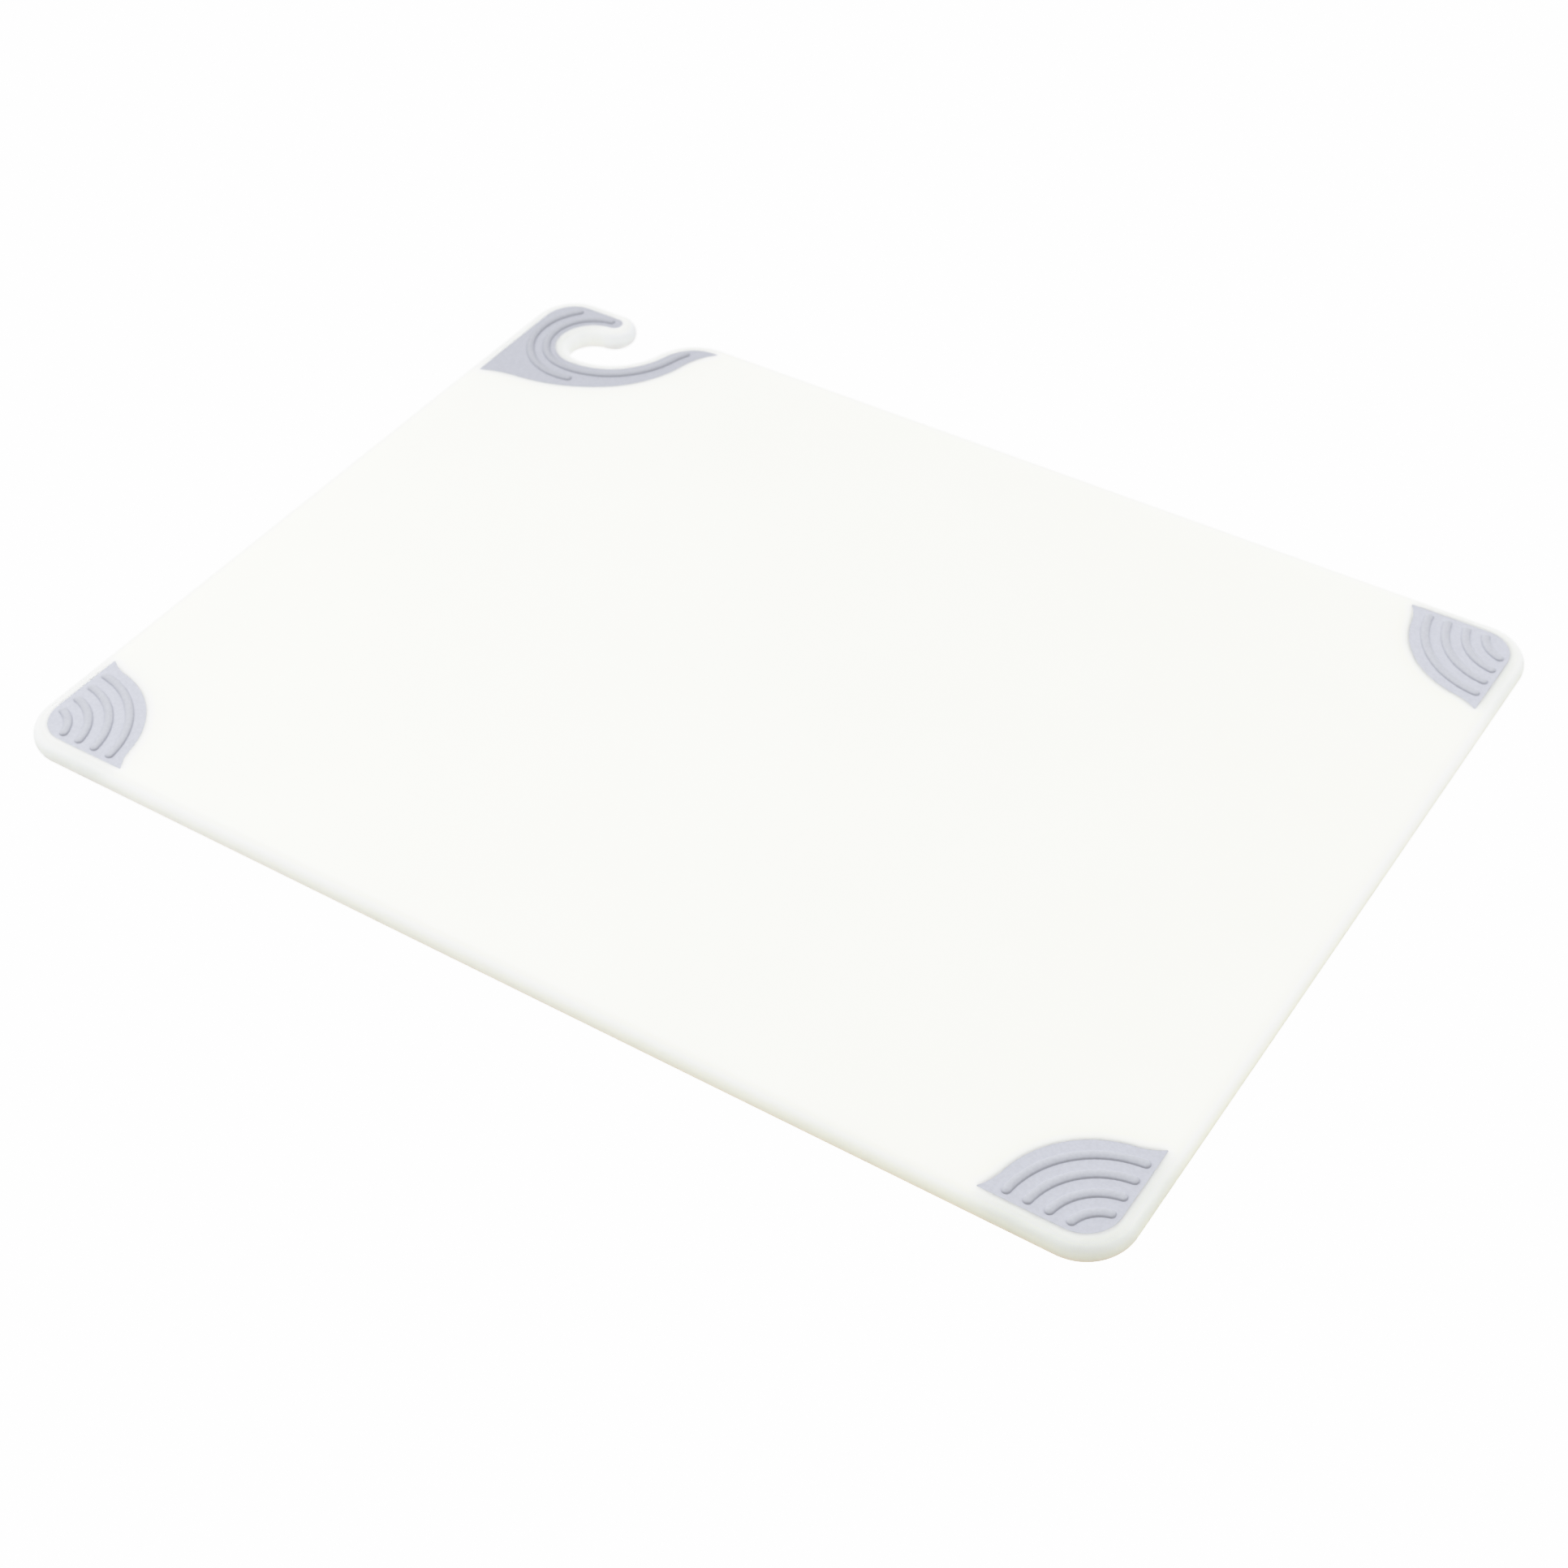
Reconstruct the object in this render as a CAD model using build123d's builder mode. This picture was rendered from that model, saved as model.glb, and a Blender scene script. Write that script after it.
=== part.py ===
"""A large reversible cutting board with soft grips moulded into its corners and an open hanging hook.

One thick plastic panel has a full round edge. An opening cut through one corner leaves a curved horn,
so that the board hangs from a peg. Every corner holds an elastomer grip that was moulded into pockets
in both faces and locks through holes in the web between them. Raised ribs on the grips carry the board
on either face.

Millimetres. X runs along the long side, Y along the short side and Z is up. The origin is the centre of
the board's plan, on the plane that the lower ribs rest on.
"""

import os
from math import asin, copysign, cos, degrees, radians, sin

from build123d import *

# Panel
board_length = 609.6
board_width = 457.2
board_thickness = 12.7
corner_radius = 25.4
edge_land = 0.1            # flat left between the two roundings of the edge
rim_width = 7.95           # bare border between the panel's side and a grip

# Hanging opening, followed from the horn's tip into the bowl, up the ramp and over the shoulder.
# A turn is in degrees.
horn_reach = 47.0          # from the short side to the centre of the horn's tip
horn_radius = 12.6
horn_turn = 178.0
bowl_radius = 12.4
bowl_turn = 173.8
ramp_radius = 35.5
ramp_turn = 79.5

# Grip pads
pad_depth = 3.0            # how deep each pad sits in its face
pad_lip = 0.15             # rounding along the pad's upper edge
lock_radius = 2.5          # posts that join the upper and lower pads through the web

# Corner grip outline: a crowned inner edge that flares out along both sides
crown_distance = 55.4      # from the grip's square corner to the crown, along the diagonal
crown_radius = 50.2
crown_half_turn = 35.0
flare_radius = 28.0
flare_turn = 36.0          # runs past the grip's side, where it is trimmed

# Posts of a corner grip: distance from the grip's corner, and angle from the long side
corner_locks = ((22.2, 45.0), (42.2, 20.0), (42.2, 45.0), (42.2, 70.0))

# Ribs
rib_height = 1.0
rib_width = 4.65
crest_turn = 18.0          # how far a rib's domed top curves before its side begins
foot_slope = 70.0          # slope of a rib's side where it meets the pad
rib_root = 1.5             # how far a rib reaches down into its pad
rib_end_gap = 2.35         # from a rib's end to the grip's straight side
first_rib_radius = 17.2
rib_pitch = 10.0
rib_count = 4

# Hook grip: its lower edge, from the cusp on the long side to the cusp on the short side
cusp_reach = 117.0         # from the short side to the first cusp
cusp_heading = -140.3
cusp_run_in = 6.0          # straight lead-in, trimmed at the cusp
hook_flare_radius = 34.3
hook_flare_turn = 38.7
belly_radius = 64.6
belly_turn = 43.9
back_radius = 99.4
back_turn = 29.9
tail_radius = 65.1
tail_turn = 30.0

# Hook ribs: the inner one follows the opening, the outer one wraps round the bowl
inner_rib_offset = rim_width + 5.3
inner_rib_start = 8.0      # degrees past the top of the bowl
inner_rib_end_radius = 44.0
inner_rib_end_turn = 13.8
outer_rib_offset = rim_width + 14.4
outer_rib_start = 46.5     # degrees past the top of the bowl
outer_rib_turn = 147.5

# Posts of the hook grip, from the short and the long side
hook_locks = ((17.5, 30.0), (20.0, 66.0), (44.0, 76.0), (72.0, 61.5), (92.5, 45.0), (38.0, 14.0))

# Derived heights and corners
bottom_face = rib_height
top_face = rib_height + board_thickness
mid_height = rib_height + board_thickness / 2
half_length = board_length / 2
half_width = board_width / 2
mid_plane = Plane.XY.offset(mid_height)
grip_corner = Vector(rim_width - half_length, rim_width - half_width)


def direction(angle):
    """The unit vector at an angle in plan, in degrees."""
    return Vector(1, 0).rotate(Axis.Z, angle)


def from_back_left(along, across):
    """A point in plan, measured inwards from the panel's back left corner, where the hook is."""
    return Vector(along - half_length, half_width - across)


# The panel in plan
with BuildSketch() as hook_opening:
    with BuildLine():
        horn = JernArc(from_back_left(horn_reach, 0), (1, 0), horn_radius, -horn_turn)
        bowl = JernArc(horn @ 1, horn % 1, bowl_radius, bowl_turn)
        ramp = JernArc(bowl @ 1, bowl % 1, ramp_radius, ramp_turn)
        climb = bowl_turn + ramp_turn - horn_turn
        shoulder_radius = (half_width - (ramp @ 1).Y) / (1 - cos(radians(climb)))
        shoulder = JernArc(ramp @ 1, ramp % 1, shoulder_radius, -climb)
        Line(shoulder @ 1, horn @ 0)
    make_face()

with BuildSketch() as panel_outline:
    RectangleRounded(board_length, board_width, corner_radius)
    add(hook_opening.sketch, mode=Mode.SUBTRACT)

# Everything inside the bare border
with BuildSketch() as field:
    add(panel_outline.sketch)
    offset(amount=-rim_width)


# Pads in plan. The corner grip is drawn at the front left and is symmetric about the corner's diagonal.
with BuildSketch() as corner_pad:
    with BuildLine():
        crown = grip_corner + direction(45) * crown_distance
        crown_arc = JernArc(crown, direction(-45), crown_radius, -crown_half_turn)
        flare = JernArc(crown_arc @ 1, crown_arc % 1, flare_radius, flare_turn)
        Line(flare @ 1, Vector(-half_length, -half_width))
        mirror(about=Plane(origin=grip_corner, z_dir=direction(135)))
    make_face()
    add(field.sketch, mode=Mode.INTERSECT)

with BuildSketch() as hook_pad:
    with BuildLine():
        cusp = from_back_left(cusp_reach, rim_width)
        run_in = Line(cusp - direction(cusp_heading) * cusp_run_in, cusp)
        hook_flare = JernArc(run_in @ 1, run_in % 1, hook_flare_radius, hook_flare_turn)
        belly = JernArc(hook_flare @ 1, hook_flare % 1, belly_radius, -belly_turn)
        back = JernArc(belly @ 1, belly % 1, back_radius, -back_turn)
        tail = JernArc(back @ 1, back % 1, tail_radius, tail_turn)
        Polyline(tail @ 1, from_back_left(0, 0), run_in @ 0)
    make_face()
    add(field.sketch, mode=Mode.INTERSECT)

with BuildSketch() as left_pads:
    add(corner_pad.sketch)
    add(hook_pad.sketch)

with BuildSketch() as right_pads:
    mirror(corner_pad.sketch, about=Plane.YZ)
    mirror(about=Plane.XZ)


def rib(path):
    """A raised rib with a domed top and domed ends, following a flat path of arcs on the upper face."""
    # The crest arc and the side arc together span half the rib's width and its whole height.
    crest_run = sin(radians(crest_turn))
    crest_drop = 1 - cos(radians(crest_turn))
    side_drop = 1 - crest_drop - cos(radians(foot_slope))
    side_lean = (sin(radians(foot_slope)) - crest_run) / side_drop
    crest_radius = (rib_width / 2 - rib_height * side_lean) / (crest_run - crest_drop * side_lean)
    side_radius = (rib_height - crest_radius * crest_drop) / side_drop
    with BuildSketch() as half_section:
        with BuildLine():
            crest = JernArc((0, rib_height), (1, 0), crest_radius, -crest_turn)
            side = JernArc(crest @ 1, crest % 1, side_radius, crest_turn - foot_slope)
            Polyline(side @ 1, (rib_width / 2, -rib_root), (0, -rib_root), crest @ 0)
        make_face()
    up = Vector(0, 0, 1)
    lift = up * top_face
    with BuildPart() as raised:
        for arc in path.edges():
            outward = (arc @ 0 - arc.arc_center).normalized()
            with BuildSketch(Plane(arc @ 0 + lift, x_dir=outward, z_dir=outward.cross(up))):
                add(half_section.sketch)
                mirror(about=Plane.YZ)
            spin = copysign(1, outward.cross(arc % 0).Z)
            revolve(axis=Axis(arc.arc_center, up * spin), revolution_arc=degrees(arc.length / arc.radius))
        for end in (path @ 0, path @ 1):
            with BuildSketch(Plane(end + lift, x_dir=(1, 0, 0), z_dir=(0, -1, 0))):
                add(half_section.sketch)
            revolve(axis=Axis(end, up))
    return raised.part


def moulded_grip(pad, ribs, locks):
    """Upper and lower pads with their ribs, joined by posts, as one moulding."""
    with BuildPart() as moulding:
        with BuildSketch(Plane.XY.offset(top_face - pad_depth)):
            add(pad)
        extrude(amount=pad_depth)
        fillet(moulding.edges().group_by(Axis.Z)[-1], pad_lip)
        add(ribs)
        with BuildSketch(mid_plane):
            with Locations(*locks):
                Circle(lock_radius)
        extrude(amount=board_thickness / 2 - pad_depth)
        mirror(about=mid_plane)
    return moulding.part


# Corner grips
corner_ribs = []
for i in range(rib_count):
    radius = first_rib_radius + i * rib_pitch
    end_angle = degrees(asin((rib_end_gap + rib_width / 2) / radius))
    with BuildLine() as rib_path:
        CenterArc(grip_corner, radius, end_angle, 90 - 2 * end_angle)
    corner_ribs.append(rib(rib_path.wire()))

corner_lock_points = [grip_corner + direction(angle) * distance for distance, angle in corner_locks]

with BuildPart() as front_left_grip:
    add(moulded_grip(corner_pad.sketch, corner_ribs, corner_lock_points))

with BuildPart() as front_right_grip:
    mirror(front_left_grip.part, about=Plane.YZ)

with BuildPart() as back_right_grip:
    mirror(front_right_grip.part, about=Plane.XZ)

# Hook grip
bowl_end = 270 + bowl_turn - horn_turn
inner_radius = bowl_radius + inner_rib_offset
inner_start = 90 + inner_rib_start
with BuildLine() as inner_rib_path:
    round_bowl = CenterArc(bowl.arc_center, inner_radius, inner_start, bowl_end - inner_start)
    up_ramp = JernArc(round_bowl @ 1, round_bowl % 1, ramp_radius + inner_rib_offset, ramp_turn)
    JernArc(up_ramp @ 1, up_ramp % 1, inner_rib_end_radius, -inner_rib_end_turn)

with BuildLine() as outer_rib_path:
    CenterArc(bowl.arc_center, bowl_radius + outer_rib_offset, 90 + outer_rib_start, outer_rib_turn)

hook_ribs = [rib(inner_rib_path.wire()), rib(outer_rib_path.wire())]
hook_lock_points = [from_back_left(along, across) for along, across in hook_locks]

with BuildPart() as hook_grip:
    add(moulded_grip(hook_pad.sketch, hook_ribs, hook_lock_points))

# Panel, with a pocket in each face for every grip and holes through the web for the posts
corner_posts = [
    Vector(x_side * point.X, y_side * point.Y)
    for x_side, y_side in ((1, 1), (-1, 1), (-1, -1))
    for point in corner_lock_points
]
with BuildPart() as board_panel:
    with BuildSketch(Plane.XY.offset(bottom_face)):
        add(panel_outline.sketch)
    extrude(amount=board_thickness)
    rims = board_panel.edges().group_by(Axis.Z)
    fillet(rims[0] + rims[-1], (board_thickness - edge_land) / 2)
    with BuildSketch(Plane.XY.offset(top_face), Plane.XY.offset(bottom_face + pad_depth)):
        add(left_pads.sketch)
        add(right_pads.sketch)
    extrude(amount=-pad_depth, mode=Mode.SUBTRACT)
    with BuildSketch(mid_plane):
        with Locations(*corner_posts, *hook_lock_points):
            Circle(lock_radius)
    extrude(amount=board_thickness / 2, both=True, mode=Mode.SUBTRACT)

# Labels and files
os.makedirs("parts", exist_ok=True)
pieces = {
    "board_panel": board_panel,
    "front_left_grip": front_left_grip,
    "front_right_grip": front_right_grip,
    "back_right_grip": back_right_grip,
    "hook_grip": hook_grip,
}
for name, piece in pieces.items():
    piece.part.label = name
    export_step(piece.part, f"parts/{name}.step")
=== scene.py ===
"""The looks of a polymer cutting board with soft corner grips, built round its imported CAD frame.

Outlines and heights are worked out in millimetres, and the meshes, lamps and camera are in metres.
"""

from math import acos, asin, ceil, cos, degrees, pi, radians, sin

import bmesh
import bpy
from mathutils import Matrix, Quaternion, Vector
from mathutils.geometry import delaunay_2d_cdt
from mathutils.kdtree import KDTree


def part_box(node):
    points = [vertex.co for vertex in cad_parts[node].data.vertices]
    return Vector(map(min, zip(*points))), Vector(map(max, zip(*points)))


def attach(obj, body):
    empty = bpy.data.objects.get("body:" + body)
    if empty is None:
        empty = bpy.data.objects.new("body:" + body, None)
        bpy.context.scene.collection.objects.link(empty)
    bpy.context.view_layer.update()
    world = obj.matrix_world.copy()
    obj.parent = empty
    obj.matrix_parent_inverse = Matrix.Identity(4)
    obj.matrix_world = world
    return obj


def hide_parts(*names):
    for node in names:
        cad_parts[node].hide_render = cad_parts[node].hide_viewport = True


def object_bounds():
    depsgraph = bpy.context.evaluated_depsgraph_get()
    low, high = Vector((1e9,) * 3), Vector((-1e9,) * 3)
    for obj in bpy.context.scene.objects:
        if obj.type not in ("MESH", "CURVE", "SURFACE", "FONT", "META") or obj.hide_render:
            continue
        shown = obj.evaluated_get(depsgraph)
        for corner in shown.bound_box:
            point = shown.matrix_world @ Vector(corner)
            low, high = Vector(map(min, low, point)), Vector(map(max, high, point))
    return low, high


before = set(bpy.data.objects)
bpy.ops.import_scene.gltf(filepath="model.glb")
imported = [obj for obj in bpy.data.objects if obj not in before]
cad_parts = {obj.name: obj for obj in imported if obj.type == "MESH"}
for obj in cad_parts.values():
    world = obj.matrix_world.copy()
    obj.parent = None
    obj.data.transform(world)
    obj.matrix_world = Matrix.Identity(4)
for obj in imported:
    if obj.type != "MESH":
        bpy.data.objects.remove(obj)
cad_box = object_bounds()

# ---------------------------------------------------------------- sizes
# Lengths are millimetres, and angles and turns are degrees, unless a comment says otherwise.

MM = 0.001
panel_low, panel_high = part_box("board_panel")
LENGTH = (panel_high.x - panel_low.x) / MM
WIDTH = (panel_high.y - panel_low.y) / MM
THICKNESS = (panel_high.z - panel_low.z) / MM
TOP = panel_high.z / MM
MIDDLE = TOP - THICKNESS / 2
RIB_HEIGHT = cad_box[1].z / MM - TOP

CORNER_RADIUS = 25.4
RIM = 7.95                 # bare border between the panel's side and a grip

# Hanging opening: horn, bowl and ramp, as radius and turn. The shoulder follows from them.
HORN_REACH = 47.0          # from the short side to the centre of the horn's tip
HORN = (12.6, 178.0)
BOWL = (12.4, 173.8)
RAMP = (35.5, 79.5)

# Corner grip, with its crown as radius and half turn
CROWN_DISTANCE = 55.4      # from the grip's square corner to the crown, along the diagonal
CROWN = (50.2, 35.0)
FLARE_RADIUS = 28.0
TIP_RADIUS = 0.3           # blunt tip where a grip runs out along a side

# Lower edge of the hook grip, as radius and turn
HOOK_CUSP_REACH = 117.0    # from the short side to the cusp on the long side
HOOK_CUSP_HEADING = -140.3
HOOK_FLARE = (34.3, 38.7)
BELLY = (64.6, 43.9)
BACK = (99.4, 29.9)
TAIL_RADIUS = 65.1

# Pads
PAD_DEPTH = 3.0
PAD_LIP = 0.03             # rounding along a pad's upper edge
BOND_GAP = 0.002           # parts a grip's surface from its pocket's, by too little to see

# Posts. A corner grip's are placed by distance from the grip's corner and angle from the long side,
# and the hook grip's by their distances from the short and the long side.
POST_RADIUS = 2.5
CORNER_POSTS = ((22.2, 45.0), (42.2, 20.0), (42.2, 45.0), (42.2, 70.0))
HOOK_POSTS = ((17.5, 30.0), (20.0, 66.0), (44.0, 76.0), (72.0, 61.5), (92.5, 45.0), (38.0, 14.0))

# Ribs
RIB_WIDTH = 4.65
CREST_TURN = 18.0          # how far a rib's domed top curves before its side begins
FOOT_SLOPE = 70.0          # slope of a rib's side where it meets the pad
FOOT_FILLET = ((0.25, 0.0), (0.06, 0.015))    # pairs: distance past the rib's side, and height
RIB_END_GAP = 2.35         # from a rib's end to the grip's straight side
FIRST_RIB_RADIUS = 17.2
RIB_PITCH = 10.0
RIB_COUNT = 4

# Hook ribs: the inner one follows the opening, the outer one wraps round the bowl
INNER_RIB_OFFSET = RIM + 5.3
INNER_RIB_START = 8.0      # past the top of the bowl
INNER_RIB_END = (44.0, 13.8)    # radius and turn of its last stretch
OUTER_RIB_OFFSET = RIM + 14.4
OUTER_RIB_START = 46.5     # past the top of the bowl
OUTER_RIB_TURN = 147.5

# Mesh steps along an outline
ARC_STEP = 0.8
LEAST_ARC_STEPS = 3
TIP_STEP = 0.1
LINE_STEP = 6.0
HOOK_LINE_STEP = 1.0       # on the short straight beside the hook grip's shoulder
POST_STEPS = 40            # vertices round a post
RIB_END_STEPS = 12         # steps round a rib's end

# Mesh steps up an edge
EDGE_LAND = 0.1            # flat left between the two roundings of the panel's edge
EDGE_STEPS = 14            # from the middle of the panel's edge to its face
EDGE_MARGIN = 0.4          # first strip of the face inside the panel's edge
LIP_STEPS = 3
LIP_MARGIN = 0.1           # first strip of the face inside a pad's lip
SIDE_STEPS = 8             # up a rib's side
SIDE_START = 0.35          # the side's first ring, as a share of a step above its foot
CREST_STEPS = 4

# Meshes of the flat faces
FACE_GRID = 12.0           # spacing of the vertices inside a face of the panel
PAD_GRID = 4.0
GRID_CLEARANCE = 0.6       # least distance to a border, as a share of the spacing
SHARP_ANGLE = 50.0         # an edge that turns further than this is shaded as sharp
MERGE_WITHIN = 1e-7        # metres

# Camera, about a point on the board, focused on the near corner
CAMERA_AZIMUTH = 34.11
CAMERA_ELEVATION = 43.20
CAMERA_ROLL = -1.54
CAMERA_TARGET = (32.1, -49.0, 1.0)
CAMERA_DISTANCE = 1317.1
CAMERA_LENS = 62.54
CAMERA_FILM = 36.0
CAMERA_STOP = 20.0
CAMERA_SIGHT = 50.0        # how far the camera sees, in metres

# Light: a broad key from behind the board, a soft box on either hand, and a pale dome
KEY_AZIMUTH = -130
KEY_ELEVATION = 45
KEY_SOFTNESS = 20
KEY_DISTANCE = 2.0         # metres
KEY_STRENGTH = 1.30
# Soft boxes: name, azimuth, elevation, distance and size in metres, power in watts
BOXES = (
    ("left", -56, 35, 1.3, 0.6, 2.45),
    ("right", 124, 35, 1.3, 0.6, 2.6),
)
DOME_STRENGTH = 0.50
FLOOR_SIZE = 12.0          # metres
FLOOR_SEEN = 1.25          # brightness of the floor in the picture
FLOOR_BOUNCE = 0.62        # brightness of the floor as it lights the board

# Tone of the picture: greys gain contrast and bright whites are held just under white.
TONE_WHITE = 1.25          # the light that comes out as TONE_TOP
TONE_TOP = 0.992
# Pairs of light in and tone out
TONE_CURVE = (
    (0.30, 0.33),
    (0.53, 0.66),
    (0.63, 0.79),
    (0.70, 0.865),
    (0.80, 0.915),
    (1.00, 0.952),
)


# ---------------------------------------------------------------- outlines

class Pen:
    """Draws tangent lines and arcs in plan, keeping the heading at each point."""

    def __init__(self, x, y, heading):
        self.x, self.y, self.heading = x, y, heading
        self.points = [(x, y, heading)]

    def line(self, length, step=LINE_STEP):
        """A straight stretch along the heading."""
        count = max(1, ceil(length / step))
        x, y = self.x, self.y
        for i in range(1, count + 1):
            self.x = x + cos(radians(self.heading)) * length * i / count
            self.y = y + sin(radians(self.heading)) * length * i / count
            self.points.append((self.x, self.y, self.heading))
        return self

    def arc(self, radius, turn, step=ARC_STEP):
        """An arc that turns left, or right where the turn is negative."""
        side = 1 if turn > 0 else -1
        count = max(LEAST_ARC_STEPS, ceil(abs(radians(turn)) * radius / step))
        start = self.heading
        centre_x = self.x - side * radius * sin(radians(start))
        centre_y = self.y + side * radius * cos(radians(start))
        for i in range(1, count + 1):
            self.heading = start + turn * i / count
            self.x = centre_x + side * radius * sin(radians(self.heading))
            self.y = centre_y - side * radius * cos(radians(self.heading))
            self.points.append((self.x, self.y, self.heading))
        return self

    def tip(self, turn):
        """A blunt tip that turns right."""
        return self.arc(TIP_RADIUS, -turn, TIP_STEP)

    def loop(self):
        """The points of a closed outline, without the last, which repeats the first."""
        return self.points[:-1]


def offset(points, distance):
    """The points moved to the right of their heading, which is inwards on a clockwise outline."""
    return [
        (x + distance * sin(radians(h)), y - distance * cos(radians(h)), h)
        for x, y, h in points
    ]


def draw_opening(pen, inset):
    """Horn, bowl, ramp and shoulder, at an inset from the panel's own edge."""
    drop = Pen(0, 0, 0).arc(HORN[0], -HORN[1]).arc(*BOWL).arc(*RAMP).y
    climb = BOWL[1] + RAMP[1] - HORN[1]
    shoulder = -drop / (1 - cos(radians(climb)))
    pen.arc(HORN[0] - inset, -HORN[1])
    pen.arc(BOWL[0] + inset, BOWL[1])
    pen.arc(RAMP[0] + inset, RAMP[1])
    return pen.arc(shoulder - inset, -climb)


def panel_outline():
    """The panel, clockwise from the horn's tip."""
    pen = draw_opening(Pen(HORN_REACH - LENGTH / 2, WIDTH / 2, 0), 0)
    pen.line(LENGTH / 2 - CORNER_RADIUS - pen.x).arc(CORNER_RADIUS, -90)
    for side in (WIDTH, LENGTH, WIDTH):
        pen.line(side - 2 * CORNER_RADIUS).arc(CORNER_RADIUS, -90)
    return pen.line(HORN_REACH - CORNER_RADIUS).loop()


def corner_outline():
    """The front left grip, clockwise from its crown, with a blunt tip at the end of each flare."""
    side_y = RIM - WIDTH / 2
    reach = CROWN_DISTANCE * cos(radians(45))
    pen = Pen(RIM - LENGTH / 2 + reach, side_y + reach, -45).arc(CROWN[0], -CROWN[1])
    flare_y = pen.y + FLARE_RADIUS * cos(radians(pen.heading))
    tip_heading = -degrees(acos((flare_y - side_y - TIP_RADIUS) / (FLARE_RADIUS + TIP_RADIUS)))
    flare_turn = tip_heading - pen.heading
    pen.arc(FLARE_RADIUS, flare_turn).tip(180 + tip_heading)
    side = pen.x - (CORNER_RADIUS - LENGTH / 2)
    pen.line(side, PAD_GRID).arc(CORNER_RADIUS - RIM, -90).line(side, PAD_GRID)
    pen.tip(180 + tip_heading).arc(FLARE_RADIUS, flare_turn)
    return pen.arc(CROWN[0], -CROWN[1]).loop()


def hook_outline():
    """The hook grip, clockwise from the top of its horn."""
    side_x = RIM - LENGTH / 2
    side_y = WIDTH / 2 - RIM
    radius, turn = HOOK_FLARE
    pen = draw_opening(Pen(HORN_REACH - LENGTH / 2, side_y, 0), RIM)
    flare_x = HOOK_CUSP_REACH - LENGTH / 2 - radius * sin(radians(HOOK_CUSP_HEADING))
    flare_y = side_y + radius * cos(radians(HOOK_CUSP_HEADING))
    tip_heading = -degrees(acos((flare_y - side_y + TIP_RADIUS) / (radius + TIP_RADIUS)))
    tip_x = flare_x + (radius + TIP_RADIUS) * sin(radians(tip_heading))
    pen.line(tip_x - pen.x, HOOK_LINE_STEP).tip(-tip_heading)
    pen.arc(radius, HOOK_CUSP_HEADING + turn - tip_heading)
    pen.arc(BELLY[0], -BELLY[1]).arc(BACK[0], -BACK[1])
    tail_x = pen.x - TAIL_RADIUS * sin(radians(pen.heading))
    tip_heading = -180 - degrees(asin((side_x + TIP_RADIUS - tail_x) / (TAIL_RADIUS + TIP_RADIUS)))
    pen.arc(TAIL_RADIUS, tip_heading - pen.heading).tip(270 + tip_heading)
    pen.line(WIDTH / 2 - CORNER_RADIUS - pen.y, PAD_GRID).arc(CORNER_RADIUS - RIM, -90)
    return pen.line(HORN_REACH - CORNER_RADIUS, PAD_GRID).loop()


# ---------------------------------------------------------------- meshes

def sides_of(face, sources):
    """The sides of a triangle, as pairs of vertex numbers in rising order."""
    named = [sources[i] for i in face]
    return [tuple(sorted((named[i - 1], named[i]))) for i in range(len(named))]


def inner_points(verts, step):
    """A square grid of points over the vertices' extent, clear of the vertices themselves."""
    known = KDTree(len(verts))
    for i, vert in enumerate(verts):
        known.insert(vert.co, i)
    known.balance()
    low_x, low_y, z = (min(v.co[i] for v in verts) for i in range(3))
    high_x, high_y = (max(v.co[i] for v in verts) for i in range(2))
    grid = [
        Vector((low_x + i * step, low_y + j * step, z))
        for i in range(1, int((high_x - low_x) / step) + 1)
        for j in range(1, int((high_y - low_y) / step) + 1)
    ]
    return [p.xy for p in grid if known.find(p)[2] > GRID_CLEARANCE * step]


# Settings of the triangulation
TRIANGLES_INSIDE = 1       # it keeps only triangles inside the borders
TELLS_APART = 1e-9         # the least distance that it tells apart, in metres


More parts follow.
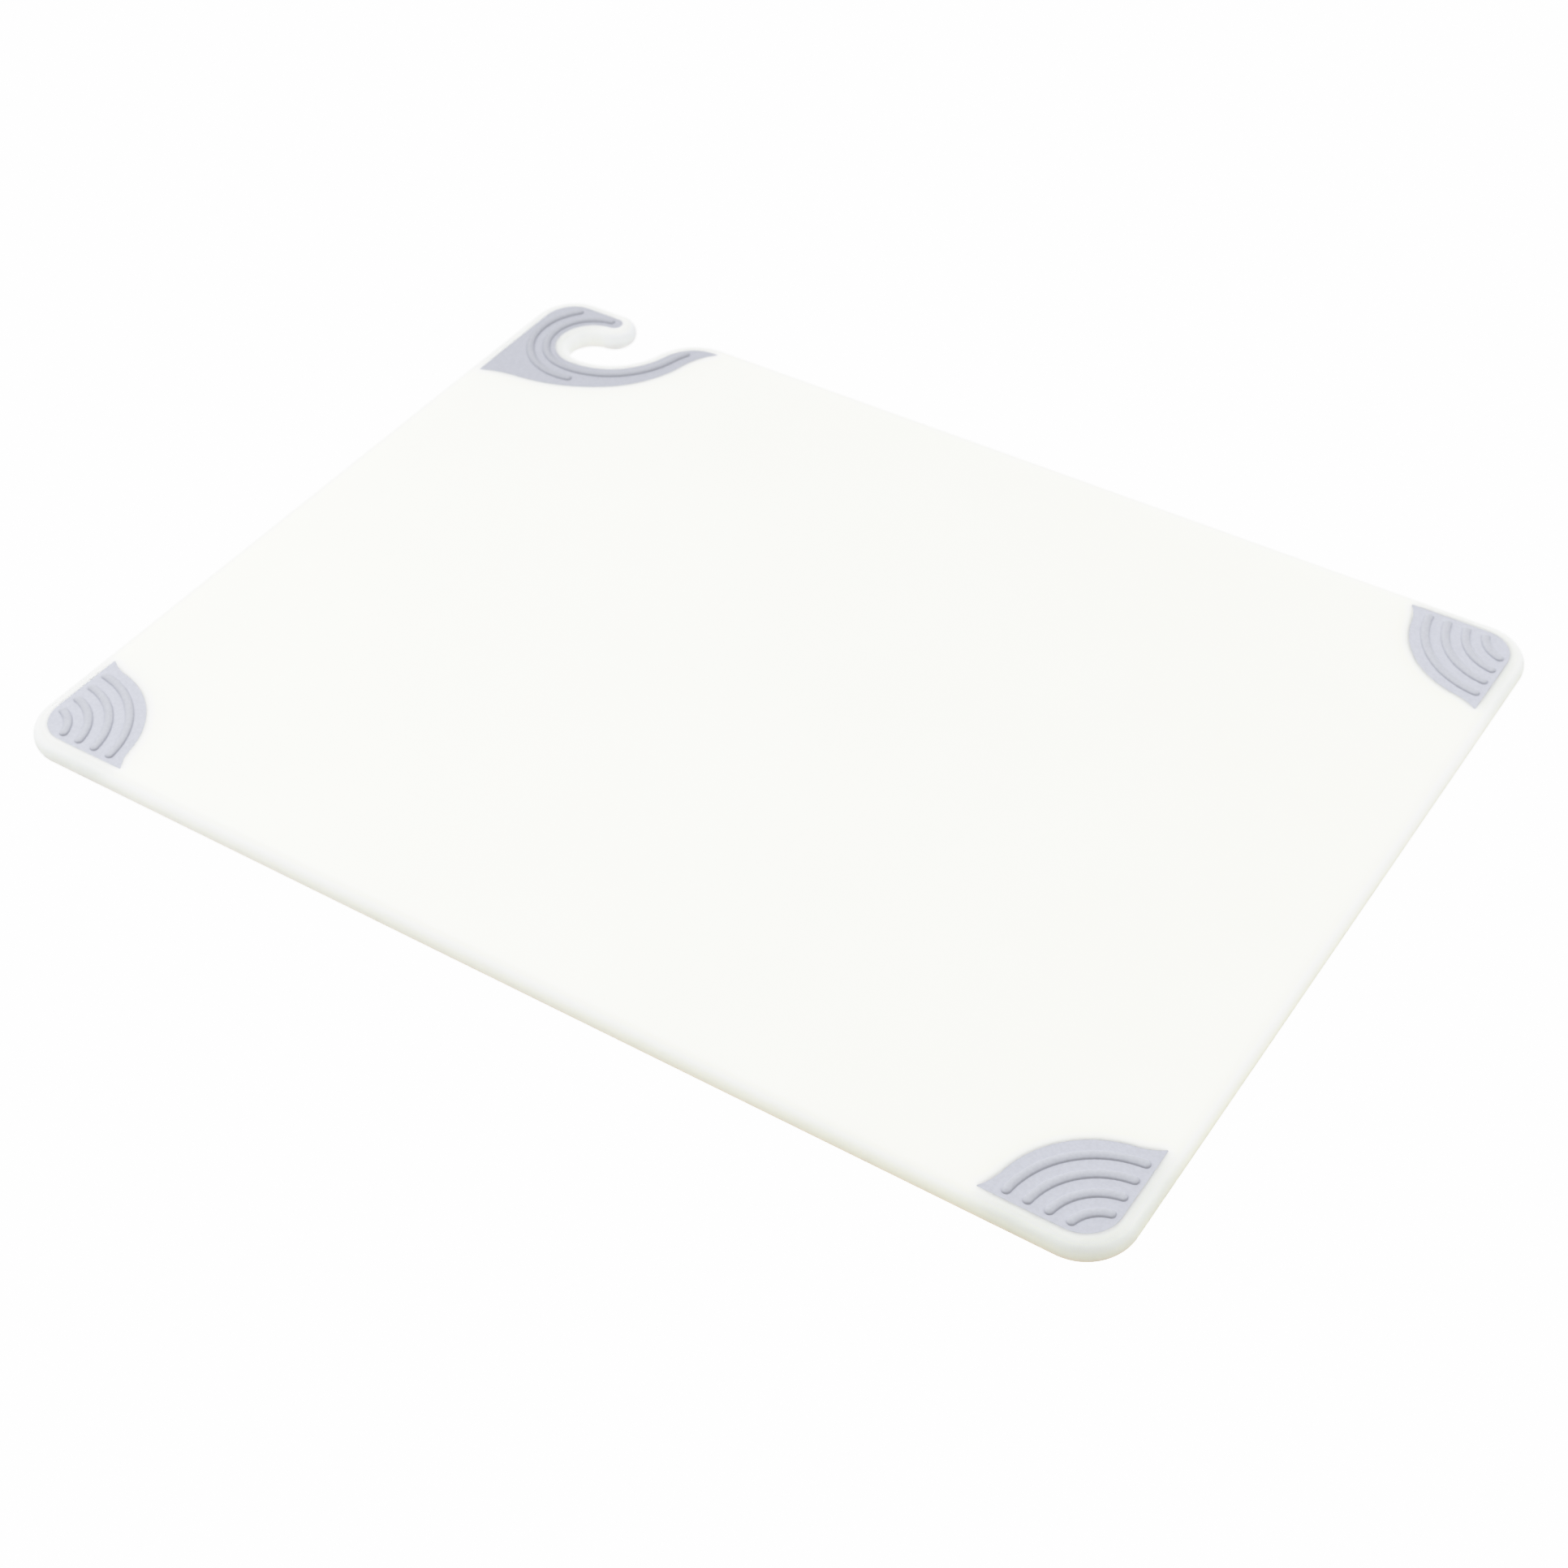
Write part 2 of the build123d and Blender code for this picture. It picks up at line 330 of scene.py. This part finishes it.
class Shell:
    """A closed mesh, put together from rings of vertices at set heights."""

    def __init__(self):
        self.bm = bmesh.new()

    def ring(self, points, z):
        """New vertices at the points, all at one height."""
        return [self.bm.verts.new((p[0] * MM, p[1] * MM, z * MM)) for p in points]

    def strip(self, first, second):
        """Quads between two closed rings with the same number of vertices."""
        for i in range(len(first)):
            self.bm.faces.new((first[i - 1], first[i], second[i], second[i - 1]))

    def strips(self, rings):
        """Quads from each ring to the next."""
        for first, second in zip(rings, rings[1:]):
            self.strip(first, second)

    def fill(self, outer, holes, spacing):
        """A flat, evenly meshed face between an outer ring and the rings of its holes."""
        known = []
        borders = set()
        for ring in [outer] + holes:
            first, last = len(known), len(known) + len(ring) - 1
            borders |= {(i, i + 1) for i in range(first, last)} | {(first, last)}
            known += ring
        z = outer[0].co.z
        flat = [v.co.xy for v in known] + inner_points(known, spacing * MM)
        found = delaunay_2d_cdt(flat, sorted(borders), [], TRIANGLES_INSIDE, TELLS_APART)
        points, faces, sources = found[0], found[2], [s[0] for s in found[3]]
        beside = {}
        for face in faces:
            for pair in sides_of(face, sources):
                beside.setdefault(pair, []).append(face)
        # Spread from the outer ring, without crossing into a hole.
        reached = set()
        waiting = [tuple(face) for face in beside[(0, 1)]]
        while waiting:
            face = waiting.pop()
            if face in reached:
                continue
            reached.add(face)
            for pair in sides_of(face, sources):
                if pair not in borders:
                    waiting += [tuple(other) for other in beside[pair]]
        verts = {}
        for face in sorted(reached):
            for i in face:
                if i not in verts:
                    is_new = sources[i] >= len(known)
                    verts[i] = self.bm.verts.new((*points[i], z)) if is_new else known[sources[i]]
            self.bm.faces.new([verts[i] for i in face])

    def finish(self, name, node, slot, material, mirror=(1, 1)):
        """Turns the shell into a smooth piece that rides on the part's one body."""
        bmesh.ops.remove_doubles(self.bm, verts=self.bm.verts, dist=MERGE_WITHIN)
        self.bm.transform(Matrix.Diagonal((*mirror, 1, 1)))
        bmesh.ops.recalc_face_normals(self.bm, faces=self.bm.faces)
        if self.bm.calc_volume(signed=True) < 0:
            bmesh.ops.reverse_faces(self.bm, faces=self.bm.faces)
        mesh = bpy.data.meshes.new(name)
        self.bm.to_mesh(mesh)
        self.bm.free()
        mesh.shade_smooth()
        mesh.set_sharp_from_angle(angle=radians(SHARP_ANGLE))
        piece = bpy.data.objects.new(name, mesh)
        bpy.context.scene.collection.objects.link(piece)
        piece.data.materials.append(material)
        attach(piece, "root")
        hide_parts(node)
        return piece


def quarter(radius, steps):
    """(inset, height) pairs up a rounded edge, from its upright side to its flat top."""
    angles = [radians(90 * i / steps) for i in range(steps + 1)]
    return [(radius * (1 - cos(a)), radius * sin(a)) for a in angles]


def circle(x, y, radius):
    """A ring of points round a post."""
    angles = [2 * pi * i / POST_STEPS for i in range(POST_STEPS)]
    return [(x + radius * cos(a), y + radius * sin(a), 0) for a in angles]


# ---------------------------------------------------------------- ribs and posts

def round_end(x, y, heading):
    """The headings of a half turn to the right, on the spot."""
    return [(x, y, heading - 180 * i / RIB_END_STEPS) for i in range(1, RIB_END_STEPS)]


def round_trip(path):
    """Along a path, round its end, back along it and round its start."""
    back = [(x, y, h - 180) for x, y, h in reversed(path)]
    return path + round_end(*path[-1]) + back + round_end(*back[-1])


def rib_profile():
    """(distance from the centre line, height) pairs, from a rib's foot up to its centre line."""
    sin_crest, cos_crest = sin(radians(CREST_TURN)), cos(radians(CREST_TURN))
    side_run = sin(radians(FOOT_SLOPE)) - sin_crest
    side_rise = cos_crest - cos(radians(FOOT_SLOPE))
    crest_radius = RIB_WIDTH / 2 - RIB_HEIGHT * side_run / side_rise
    crest_radius /= sin_crest - (1 - cos_crest) * side_run / side_rise
    side_radius = (RIB_HEIGHT - crest_radius * (1 - cos_crest)) / side_rise
    profile = [(RIB_WIDTH / 2 + past, height) for past, height in FOOT_FILLET]
    for i in range(SIDE_STEPS + 1):
        share = (i + SIDE_START) / (SIDE_STEPS + SIDE_START)
        slope = radians(FOOT_SLOPE + (CREST_TURN - FOOT_SLOPE) * share)
        run = side_radius * (sin(slope) - sin_crest) + crest_radius * sin_crest
        rise = side_radius * (cos(slope) - cos_crest) - crest_radius * (1 - cos_crest)
        profile.append((run, RIB_HEIGHT + rise))
    for i in reversed(range(CREST_STEPS)):
        slope = radians(CREST_TURN * i / CREST_STEPS)
        profile.append((crest_radius * sin(slope), RIB_HEIGHT - crest_radius * (1 - cos(slope))))
    return profile


def corner_ribs():
    """Centre lines of a corner grip's ribs, each an arc about the grip's square corner."""
    corner_x, corner_y = RIM - LENGTH / 2, RIM - WIDTH / 2
    lines = []
    for i in range(RIB_COUNT):
        radius = FIRST_RIB_RADIUS + i * RIB_PITCH
        end = degrees(asin((RIB_END_GAP + RIB_WIDTH / 2) / radius))
        start_x = corner_x + radius * cos(radians(end))
        start_y = corner_y + radius * sin(radians(end))
        lines.append(Pen(start_x, start_y, 90 + end).arc(radius, 90 - 2 * end).points)
    return lines


def hook_ribs():
    """Centre lines of the hook grip's ribs: one along the opening and one round the bowl."""
    drawn = Pen(HORN_REACH - LENGTH / 2, WIDTH / 2, 0).arc(HORN[0], -HORN[1])
    bowl_x = drawn.x - BOWL[0] * sin(radians(drawn.heading))
    bowl_y = drawn.y + BOWL[0] * cos(radians(drawn.heading))
    bowl_end = 270 + BOWL[1] - HORN[1]
    lines = []
    for outwards, start, end in (
        (INNER_RIB_OFFSET, 90 + INNER_RIB_START, bowl_end),
        (OUTER_RIB_OFFSET, 90 + OUTER_RIB_START, 90 + OUTER_RIB_START + OUTER_RIB_TURN),
    ):
        radius = BOWL[0] + outwards
        start_x = bowl_x + radius * cos(radians(start))
        start_y = bowl_y + radius * sin(radians(start))
        lines.append(Pen(start_x, start_y, start + 90).arc(radius, end - start))
    lines[0].arc(RAMP[0] + INNER_RIB_OFFSET, RAMP[1]).arc(INNER_RIB_END[0], -INNER_RIB_END[1])
    return [line.points for line in lines]


def corner_posts():
    """The centres of a corner grip's posts."""
    corner_x, corner_y = RIM - LENGTH / 2, RIM - WIDTH / 2
    return [
        (corner_x + distance * cos(radians(angle)), corner_y + distance * sin(radians(angle)))
        for distance, angle in CORNER_POSTS
    ]


def hook_posts():
    """The centres of the hook grip's posts."""
    return [(along - LENGTH / 2, WIDTH / 2 - across) for along, across in HOOK_POSTS]


# ---------------------------------------------------------------- pieces

def build_grip(name, outline, ribs, posts, material, mirror=(1, 1)):
    """An upper and a lower pad with their ribs, joined by posts through the panel's web."""
    shell = Shell()
    edge = offset(outline, BOND_GAP)
    floor_height = THICKNESS / 2 - PAD_DEPTH + BOND_GAP
    lip_height = THICKNESS / 2 - PAD_LIP
    post_ends = []
    for side in (1, -1):
        floor = shell.ring(edge, MIDDLE + side * floor_height)
        rings = [floor]
        for inset, rise in quarter(PAD_LIP, LIP_STEPS):
            rings.append(shell.ring(offset(edge, inset), MIDDLE + side * (lip_height + rise)))
        face = offset(edge, PAD_LIP + LIP_MARGIN)
        rings.append(shell.ring(face, MIDDLE + side * THICKNESS / 2))
        shell.strips(rings)
        feet = []
        for rib in ribs:
            trip = round_trip(rib)
            loops = [
                shell.ring(offset(trip, -reach), MIDDLE + side * (THICKNESS / 2 + height))
                for reach, height in rib_profile()
            ]
            shell.strips(loops)
            feet.append(loops[0])
        shell.fill(rings[-1], feet, PAD_GRID)
        ends = [
            shell.ring(circle(x, y, POST_RADIUS - BOND_GAP), MIDDLE + side * floor_height)
            for x, y in posts
        ]
        shell.fill(floor, ends, PAD_GRID)
        post_ends.append(ends)
    for upper, lower in zip(*post_ends):
        shell.strip(upper, lower)
    return shell.finish(name + "_moulding", name, "grip_elastomer", material, mirror)


def build_panel(pads, posts, material):
    """The panel, with its full round edge, a pocket for every pad and holes for the posts."""
    shell = Shell()
    outline = panel_outline()
    radius = (THICKNESS - EDGE_LAND) / 2
    middle_rings = []
    hole_ends = []
    for side in (1, -1):
        rings = [
            shell.ring(offset(outline, inset), MIDDLE + side * (EDGE_LAND / 2 + rise))
            for inset, rise in quarter(radius, EDGE_STEPS)
        ]
        face = MIDDLE + side * THICKNESS / 2
        rings.append(shell.ring(offset(outline, radius + EDGE_MARGIN), face))
        shell.strips(rings)
        middle_rings.append(rings[0])
        brims = [shell.ring(pad, face) for pad in pads]
        shell.fill(rings[-1], brims, FACE_GRID)
        ends = []
        for brim, pad, pad_posts in zip(brims, pads, posts):
            floor = shell.ring(pad, face - side * PAD_DEPTH)
            shell.strip(brim, floor)
            holes = [
                shell.ring(circle(x, y, POST_RADIUS), face - side * PAD_DEPTH)
                for x, y in pad_posts
            ]
            shell.fill(floor, holes, PAD_GRID)
            ends += holes
        hole_ends.append(ends)
    shell.strip(*middle_rings)
    for upper, lower in zip(*hole_ends):
        shell.strip(upper, lower)
    return shell.finish("board_panel_body", "board_panel", "panel_plastic", material)


# ---------------------------------------------------------------- materials

GRAIN_HEIGHT = 0.00008     # metres


class Nodes:
    """A short way to wire up a material's nodes."""

    def __init__(self, name):
        self.material = bpy.data.materials.new(name)
        self.material.use_nodes = True
        self.tree = self.material.node_tree
        self.tree.nodes.clear()

    def add(self, kind, **settings):
        """A node with its settings, each of which is a property or an input with _ for a space."""
        node = self.tree.nodes.new("ShaderNode" + kind)
        for key, value in settings.items():
            if hasattr(node, key):
                setattr(node, key, value)
            else:
                node.inputs[key.replace("_", " ")].default_value = value
        return node

    def link(self, source, target):
        """Wires an output to an input."""
        self.tree.links.new(source, target)

    def ramp(self, factor, stops):
        """A colour ramp through (position, colour) stops."""
        node = self.add("ValToRGB")
        elements = node.color_ramp.elements
        while len(elements) < len(stops):
            elements.new(0.5)
        for element, (position, colour) in zip(elements, stops):
            element.position = position
            element.color = (*colour, 1)
        self.link(factor, node.inputs["Fac"])
        return node.outputs["Color"]

    def tinted(self, colour, tint, share=None):
        """A colour multiplied by a tint, in full or by a share from 0 to 1."""
        node = self.add("Mix", data_type="RGBA", blend_type="MULTIPLY")
        node.inputs["Factor"].default_value = 1
        if share:
            self.link(share, node.inputs["Factor"])
        self.link(colour, node.inputs["A"])
        self.link(tint, node.inputs["B"])
        return node.outputs["Result"]

    def upwards(self, vector):
        """The Z part of the surface's own Position or Normal."""
        surface = self.add("NewGeometry")
        parts = self.add("SeparateXYZ")
        self.link(surface.outputs[vector], parts.inputs["Vector"])
        return parts.outputs["Z"]

    def by_distance(self, none_at, full_at):
        """A share from 0 to 1 between two distances, in metres, from the near corner."""
        surface = self.add("NewGeometry")
        away = self.add("VectorMath", operation="DISTANCE")
        away.inputs[1].default_value = (LENGTH / 2 * MM, -WIDTH / 2 * MM, 0)
        self.link(surface.outputs["Position"], away.inputs[0])
        share = self.add("MapRange", From_Min=none_at, From_Max=full_at)
        self.link(away.outputs["Value"], share.inputs["Value"])
        return share.outputs["Result"]

    def noise(self, scale):
        """Noise over the object's own metres, so that the grain keeps its size."""
        place = self.add("TexCoord")
        node = self.add("TexNoise", Scale=scale, Detail=2, Roughness=0.5)
        self.link(place.outputs["Object"], node.inputs["Vector"])
        return node.outputs["Fac"]

    def grain(self, scale, strength):
        """A normal that is roughened by fine noise."""
        bump = self.add("Bump", Strength=strength, Distance=GRAIN_HEIGHT)
        self.link(self.noise(scale), bump.inputs["Height"])
        return bump.outputs["Normal"]

    def finish(self, surface):
        """Wires a shader to the surface and returns the finished material."""
        output = self.add("OutputMaterial")
        self.link(surface, output.inputs["Surface"])
        return self.material


# The plastic's own colour drifts between two shades, in clouds.
CLOUD_SCALE = 9
PLASTIC_SHADES = (
    (0.30, (0.905, 0.925, 0.76)),
    (0.70, (0.93, 0.95, 0.785)),
)
PEBBLE_SCALE = 1500
PEBBLE_STRENGTH = 0.35

# Painted light in the plastic's colour, by which way it faces, from down to up: a bluer tint for
# the cooler light along the whole edge, and a warm tint for warm light, strongest low on the edge.
# The warm one is strongest at the corner nearest the viewer and fades between two distances, in
# metres.
EDGE_PAINTED_LIGHT = (
    (0.01, (1.0, 1.0, 1.0)),
    (0.10, (1.0, 1.0, 1.15)),
    (0.90, (1.0, 1.0, 1.15)),
    (0.99, (1.0, 1.0, 1.0)),
)
WARM_PAINTED_LIGHT = (
    (0.01, (1.0, 1.0, 1.0)),
    (0.15, (0.89, 0.76, 0.60)),
    (0.35, (0.93, 0.84, 0.70)),
    (0.50, (0.965, 0.94, 0.81)),
    (0.65, (1.0, 0.985, 0.88)),
    (0.78, (1.0, 0.995, 0.93)),
    (0.90, (1.0, 1.0, 0.955)),
    (0.99, (1.0, 1.0, 1.0)),
)
WARM_FULL = 0.05
WARM_GONE = 0.90

# Painted shade in the plastic's colour beside a pocket, from its border outwards, where the darker
# grip takes up light, turning to a faint painted bluish glow before it fades. The reach is in
# metres.
POCKET_REACH = 0.005
POCKET_SAMPLES = 8
POCKET_PAINTED_SHADE = (
    (0.60, (0.79, 0.78, 0.94)),
    (0.80, (0.92, 0.915, 1.06)),
    (0.93, (1.0, 0.99, 1.10)),
    (1.00, (1.0, 1.0, 1.0)),
)


def plastic_colour(nodes):
    """The plastic's colour, with painted light along its edge and painted shade beside the pockets.
    """
    facing = nodes.add("MapRange", From_Min=-1)
    nodes.link(nodes.upwards("Normal"), facing.inputs["Value"])
    openness = nodes.add(
        "AmbientOcclusion",
        inside=True,
        only_local=True,
        samples=POCKET_SAMPLES,
        Distance=POCKET_REACH,
    )
    # Painted light: a bluer tint along the edge, and warm light low on the edge near the viewer's
    # corner.
    side = nodes.ramp(facing.outputs["Result"], EDGE_PAINTED_LIGHT)
    warm = nodes.ramp(facing.outputs["Result"], WARM_PAINTED_LIGHT)
    # Painted shade beside the pockets, with a faint painted bluish glow farther out.
    pocket = nodes.ramp(openness.outputs["AO"], POCKET_PAINTED_SHADE)
    colour = nodes.ramp(nodes.noise(CLOUD_SCALE), PLASTIC_SHADES)
    colour = nodes.tinted(colour, side)
    colour = nodes.tinted(colour, warm, nodes.by_distance(WARM_GONE, WARM_FULL))
    return nodes.tinted(colour, pocket)


def panel_plastic():
    """White polymer that light enters a little way, with a fine pebbled grain."""
    nodes = Nodes("panel_plastic")
    shader = nodes.add(
        "BsdfPrincipled",
        Roughness=0.46,
        IOR=1.49,
        Specular_IOR_Level=0.4,
        subsurface_method="BURLEY",
        Subsurface_Weight=0.8,
        Subsurface_Scale=0.025,
        Subsurface_Radius=(1.0, 0.95, 0.9),
    )
    nodes.link(plastic_colour(nodes), shader.inputs["Base Color"])
    nodes.link(nodes.grain(PEBBLE_SCALE, PEBBLE_STRENGTH), shader.inputs["Normal"])
    return nodes.finish(shader.outputs["BSDF"])


# The grips' colour, from the pads to the tops of the ribs, with small darker spots
GRIP_SHADES = (
    (0.20, (0.54, 0.55, 0.60)),
    (0.90, (0.515, 0.525, 0.565)),
)
SPOT_SCALE = 700
SPOT_SHADES = (
    (0.35, (0.95, 0.95, 0.95)),
    (0.65, (1.0, 1.0, 1.0)),
)
FROSTING_SCALE = 1300
FROSTING_STRENGTH = 0.4

# Painted shade: the hook's grip, at the far end where less light reaches, is made a shade darker.
# All of it is farther than these distances, in metres, from the corner nearest the viewer, and the
# other grips are all nearer.
HOOK_GRIP_AWAY = (0.62, 0.65)
HOOK_GRIP_PAINTED_SHADE = (
    (0.0, (1.0, 1.0, 1.0)),
    (1.0, (0.91, 0.91, 0.915)),
)


def grip_colour(nodes):
    """The grips' colour, spotted, and with painted shade that darkens the hook's grip."""
    from_middle = nodes.add("Math", operation="SUBTRACT")
    from_middle.inputs[1].default_value = MIDDLE * MM
    nodes.link(nodes.upwards("Position"), from_middle.inputs[0])
    either_face = nodes.add("Math", operation="ABSOLUTE")
    nodes.link(from_middle.outputs["Value"], either_face.inputs[0])
    up_rib = nodes.add(
        "MapRange",
        From_Min=THICKNESS / 2 * MM,
        From_Max=(THICKNESS / 2 + RIB_HEIGHT) * MM,
    )
    nodes.link(either_face.outputs["Value"], up_rib.inputs["Value"])
    spots = nodes.ramp(nodes.noise(SPOT_SCALE), SPOT_SHADES)
    # Painted shade darkens the hook's grip.
    hook = nodes.ramp(nodes.by_distance(*HOOK_GRIP_AWAY), HOOK_GRIP_PAINTED_SHADE)
    colour = nodes.ramp(up_rib.outputs["Result"], GRIP_SHADES)
    return nodes.tinted(nodes.tinted(colour, spots), hook)


def grip_elastomer():
    """Soft matte grey with a frosted surface, a shade darker along the tops of the ribs."""
    nodes = Nodes("grip_elastomer")
    shader = nodes.add("BsdfPrincipled", Roughness=0.62, IOR=1.47, Specular_IOR_Level=0.35)
    nodes.link(grip_colour(nodes), shader.inputs["Base Color"])
    nodes.link(nodes.grain(FROSTING_SCALE, FROSTING_STRENGTH), shader.inputs["Normal"])
    return nodes.finish(shader.outputs["BSDF"])


def pale_floor():
    """A floor that glows by itself, as in product photography: almost white, with no shadow."""
    nodes = Nodes("pale_floor")
    ray = nodes.add("LightPath")
    brightness = nodes.add("MapRange", To_Min=FLOOR_BOUNCE, To_Max=FLOOR_SEEN)
    nodes.link(ray.outputs["Is Camera Ray"], brightness.inputs["Value"])
    glow = nodes.add("Emission")
    nodes.link(brightness.outputs["Result"], glow.inputs["Strength"])
    return nodes.finish(glow.outputs["Emission"])


# ---------------------------------------------------------------- stage

def build_floor():
    """The glowing floor, on the plane that the lower ribs rest on."""
    bpy.ops.mesh.primitive_plane_add(size=FLOOR_SIZE, location=(0, 0, 0))
    floor = bpy.context.object
    floor.name = "floor"
    floor.data.materials.append(pale_floor())


def towards(azimuth, elevation):
    """The direction from the board to a lamp or camera.

    Azimuth 0 is on the -Y side and azimuth 90 is on the +X side.
    """
    a, e = radians(azimuth), radians(elevation)
    return Vector((sin(a) * cos(e), -cos(a) * cos(e), sin(e)))


def place_light(lamp, azimuth, elevation, distance):
    """Hangs a lamp at a distance from the board, aimed at it."""
    light = bpy.data.objects.new(lamp.name, lamp)
    light.location = towards(azimuth, elevation) * distance
    light.rotation_euler = light.location.to_track_quat("Z", "Y").to_euler()
    bpy.context.scene.collection.objects.link(light)


def build_lights():
    """The key and the two soft boxes."""
    key = bpy.data.lights.new("key", "SUN")
    key.energy = KEY_STRENGTH
    key.angle = radians(KEY_SOFTNESS)
    place_light(key, KEY_AZIMUTH, KEY_ELEVATION, KEY_DISTANCE)
    for name, azimuth, elevation, distance, size, power in BOXES:
        box = bpy.data.lights.new(name, "AREA")
        box.shape = "SQUARE"
        box.size = size
        box.energy = power
        place_light(box, azimuth, elevation, distance)


def build_world():
    """The pale dome."""
    world = bpy.data.worlds.new("studio")
    world.use_nodes = True
    background = world.node_tree.nodes["Background"]
    background.inputs["Color"].default_value = (1, 1, 1, 1)
    background.inputs["Strength"].default_value = DOME_STRENGTH
    bpy.context.scene.world = world


def set_tone():
    """Bends the tones with the one curve that all three colours share."""
    view = bpy.context.scene.view_settings
    view.view_transform = "Standard"
    view.use_curve_mapping = True
    view.curve_mapping.white_level = (TONE_WHITE, TONE_WHITE, TONE_WHITE)
    curve = view.curve_mapping.curves[-1]
    curve.points[-1].location = (1, TONE_TOP)
    for light, tone in TONE_CURVE:
        curve.points.new(light / TONE_WHITE, tone)
    view.curve_mapping.update()


def build_camera():
    """The camera, above the near corner and looking across both near sides."""
    data = bpy.data.cameras.new("camera")
    data.lens = CAMERA_LENS
    data.sensor_width = CAMERA_FILM
    data.clip_end = CAMERA_SIGHT
    camera = bpy.data.objects.new("camera", data)
    back = towards(CAMERA_AZIMUTH, CAMERA_ELEVATION)
    camera.location = (Vector(CAMERA_TARGET) + back * CAMERA_DISTANCE) * MM
    near_corner = Vector((LENGTH / 2, -WIDTH / 2, TOP)) * MM
    data.dof.use_dof = True
    data.dof.focus_distance = (camera.location - near_corner).dot(back)
    data.dof.aperture_fstop = CAMERA_STOP
    roll = Quaternion((0, 0, 1), radians(CAMERA_ROLL))
    camera.rotation_mode = "QUATERNION"
    camera.rotation_quaternion = back.to_track_quat("Z", "Y") @ roll
    bpy.context.scene.collection.objects.link(camera)
    bpy.context.scene.camera = camera


# ---------------------------------------------------------------- the board

def mirrored(points, sides):
    """Points in plan, mirrored where the side for X or Y is -1."""
    return [(p[0] * sides[0], p[1] * sides[1]) for p in points]


def build_board():
    """The five pieces. A corner grip is drawn at the front left and mirrored to its place."""
    plastic = panel_plastic()
    elastomer = grip_elastomer()
    corners = {
        "front_left_grip": (1, 1),
        "front_right_grip": (-1, 1),
        "back_right_grip": (-1, -1),
    }
    for name, sides in corners.items():
        build_grip(name, corner_outline(), corner_ribs(), corner_posts(), elastomer, sides)
    build_grip("hook_grip", hook_outline(), hook_ribs(), hook_posts(), elastomer)
    pads = [mirrored(corner_outline(), sides) for sides in corners.values()]
    posts = [mirrored(corner_posts(), sides) for sides in corners.values()]
    build_panel(pads + [hook_outline()], posts + [hook_posts()], plastic)


build_board()
build_floor()
build_world()
set_tone()
build_lights()
build_camera()
